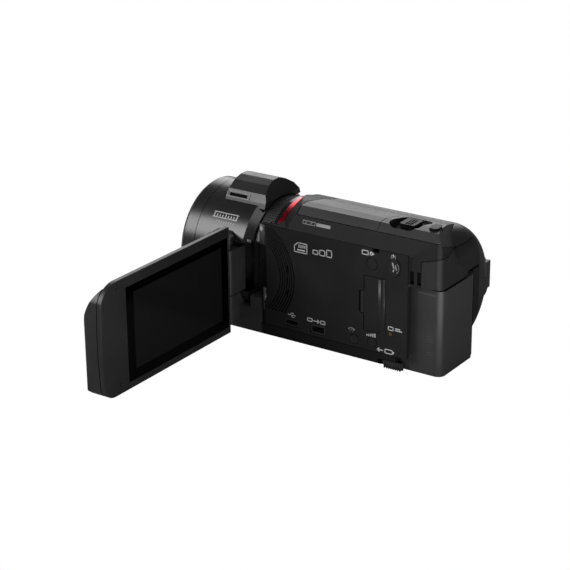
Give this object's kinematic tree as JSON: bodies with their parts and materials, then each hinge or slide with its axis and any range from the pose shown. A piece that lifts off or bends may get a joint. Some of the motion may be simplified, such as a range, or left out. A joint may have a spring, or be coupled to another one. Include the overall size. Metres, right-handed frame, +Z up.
{
  "type": "camcorder",
  "caption": "Black handheld camcorder with an open flip-out screen, red ring behind the lens barrel, battery pack, hand strap and tripod socket.",
  "frame": {"origin": "centre of the tripod socket's mouth on the flat base", "axes": "+Z up out of the top, -Y out of the lens, +X out of the screen side"},
  "size_m": [0.1769, 0.145, 0.071],
  "materials": {
    "case_black": "fine matte",
    "case_satin": "satin",
    "ring_gloss": "gloss",
    "accent_red": "gloss metallic",
    "control_black": "satin",
    "screen_glass": "clear dark",
    "lens_glass": "coated",
    "steel": "plain",
    "gold": "plated contacts",
    "board_green": "solder mask",
    "inner_grey": "plain",
    "grille_black": "perforated",
    "rubber_black": "matt",
    "strap_fabric": "woven",
    "lamp_amber": "translucent",
    "card_blue": "plain"
  },
  "bodies": {
    "body": {"bottom_plate": "case_black", "left_case": "case_black", "right_case": "case_black", "side_plate": "case_black", "rear_cover": "case_black", "neck_housing": "case_black", "top_cover": "case_satin", "rear_top_cover": "case_satin", "barrel_housing": "case_satin", "front_ring": "case_satin", "mic_cover": "case_satin", "neck_ring": "ring_gloss", "lens_bezel": "ring_gloss", "accent_ring": "accent_red", "front_lens": "lens_glass", "tripod_socket": "steel", "guide_rods": "steel", "usb_port": "steel", "video_port": "steel", "hinge_pins": "steel", "case_screws": "steel", "strap_lug_rear": "steel", "strap_lug_front": "steel", "mic_capsules": "steel", "card_socket": "steel", "battery_terminal": "gold", "main_board": "board_green", "sensor_board": "board_green", "lens_tube": "inner_grey", "image_sensor": "inner_grey", "fan_frame": "inner_grey", "speaker": "inner_grey", "dc_jack": "inner_grey", "mic_grille": "grille_black", "hand_strap": "strap_fabric", "access_lamp": "lamp_amber"},
    "lens_cover_top": {"lens_cover_upper": "inner_grey"},
    "lens_cover_bottom": {"lens_cover_lower": "inner_grey"},
    "zoom_lens": {"zoom_group": "inner_grey"},
    "focus_lens": {"focus_group": "inner_grey"},
    "fan": {"fan_rotor": "inner_grey"},
    "zoom_rocker": {"zoom_lever": "control_black"},
    "photo_key": {"photo_button": "control_black"},
    "record_key": {"record_button": "control_black"},
    "power_key": {"power_button": "control_black"},
    "mode_key": {"mode_button": "control_black"},
    "wireless_key": {"wireless_button": "control_black"},
    "level_key": {"level_button": "control_black"},
    "door": {"card_door": "case_black"},
    "card": {"memory_card": "card_blue"},
    "battery": {"battery_pack": "case_black"},
    "latch": {"battery_latch": "control_black"},
    "jack_flap": {"jack_cover": "control_black"},
    "hinge": {"hinge_block": "case_black", "tilt_shaft": "steel"},
    "screen": {"screen_frame": "case_black", "screen_cover": "case_black", "screen_glass": "screen_glass", "display_panel": "inner_grey", "screen_bumpers": "rubber_black"}
  },
  "joints": [
    {"name": "screen_open", "type": "hinge", "parent": "body", "child": "hinge", "pos_m": [0.0335, -0.0371, 0.032], "axis": [0, 0, 1], "range_deg": [0, 90]},
    {"name": "screen_tilt", "type": "hinge", "parent": "hinge", "child": "screen", "pos_m": [0.036, -0.03915, 0.0296], "axis": [1, 0, 0], "range_deg": [-90, 180]},
    {"name": "lens_cover_close", "type": "slide", "parent": "body", "child": "lens_cover_top", "axis": [0, 0, -1], "range_m": [0, 0.0101]},
    {"name": "lens_cover_follow", "type": "slide", "parent": "body", "child": "lens_cover_bottom", "axis": [0, 0, 1], "range_m": [0, 0.0101]},
    {"name": "zoom_drive", "type": "slide", "parent": "body", "child": "zoom_lens", "axis": [0, 1, 0], "range_m": [-0.004, 0.006]},
    {"name": "focus_drive", "type": "slide", "parent": "body", "child": "focus_lens", "axis": [0, 1, 0], "range_m": [-0.003, 0.0015]},
    {"name": "fan_spin", "type": "hinge", "parent": "body", "child": "fan", "pos_m": [0.018, -0.006, 0.033], "axis": [1, 0, 0], "continuous": true},
    {"name": "zoom_rock", "type": "slide", "parent": "body", "child": "zoom_rocker", "axis": [0, 1, 0], "range_m": [-0.0018, 0.0018], "stiffness_N_per_m": 300},
    {"name": "photo_press", "type": "slide", "parent": "body", "child": "photo_key", "axis": [0, 0, -1], "range_m": [0, 0.0006], "stiffness_N_per_m": 400},
    {"name": "record_press", "type": "slide", "parent": "body", "child": "record_key", "axis": [0, -1, 0], "range_m": [0, 0.0008], "stiffness_N_per_m": 400},
    {"name": "power_press", "type": "slide", "parent": "body", "child": "power_key", "axis": [-1, 0, 0], "range_m": [0, 0.0006], "stiffness_N_per_m": 400},
    {"name": "mode_press", "type": "slide", "parent": "body", "child": "mode_key", "axis": [-1, 0, 0], "range_m": [0, 0.0005], "stiffness_N_per_m": 400},
    {"name": "wireless_press", "type": "slide", "parent": "body", "child": "wireless_key", "axis": [-1, 0, 0], "range_m": [0, 0.0005], "stiffness_N_per_m": 400},
    {"name": "level_press", "type": "slide", "parent": "body", "child": "level_key", "axis": [-1, 0, 0], "range_m": [0, 0.0005], "stiffness_N_per_m": 400},
    {"name": "card_door_open", "type": "hinge", "parent": "body", "child": "door", "pos_m": [0.0279, 0.0356, 0.031], "axis": [0, 0, 1], "range_deg": [-90, 0]},
    {"name": "card_push", "type": "slide", "parent": "body", "child": "card", "axis": [-1, 0, 0], "range_m": [0, 0.0008], "stiffness_N_per_m": 400},
    {"name": "battery_slide", "type": "slide", "parent": "body", "child": "battery", "axis": [0, 0, -1], "range_m": [0, 0.046]},
    {"name": "latch_slide", "type": "slide", "parent": "body", "child": "latch", "axis": [0, -1, 0], "range_m": [0, 0.0022], "stiffness_N_per_m": 300},
    {"name": "jack_cover_pull", "type": "slide", "parent": "body", "child": "jack_flap", "axis": [0, 1, 0], "range_m": [0, 0.008]}
  ],
  "couplings": [
    {"joint": "lens_cover_follow", "follows": "lens_cover_close", "ratio": 1}
  ]
}
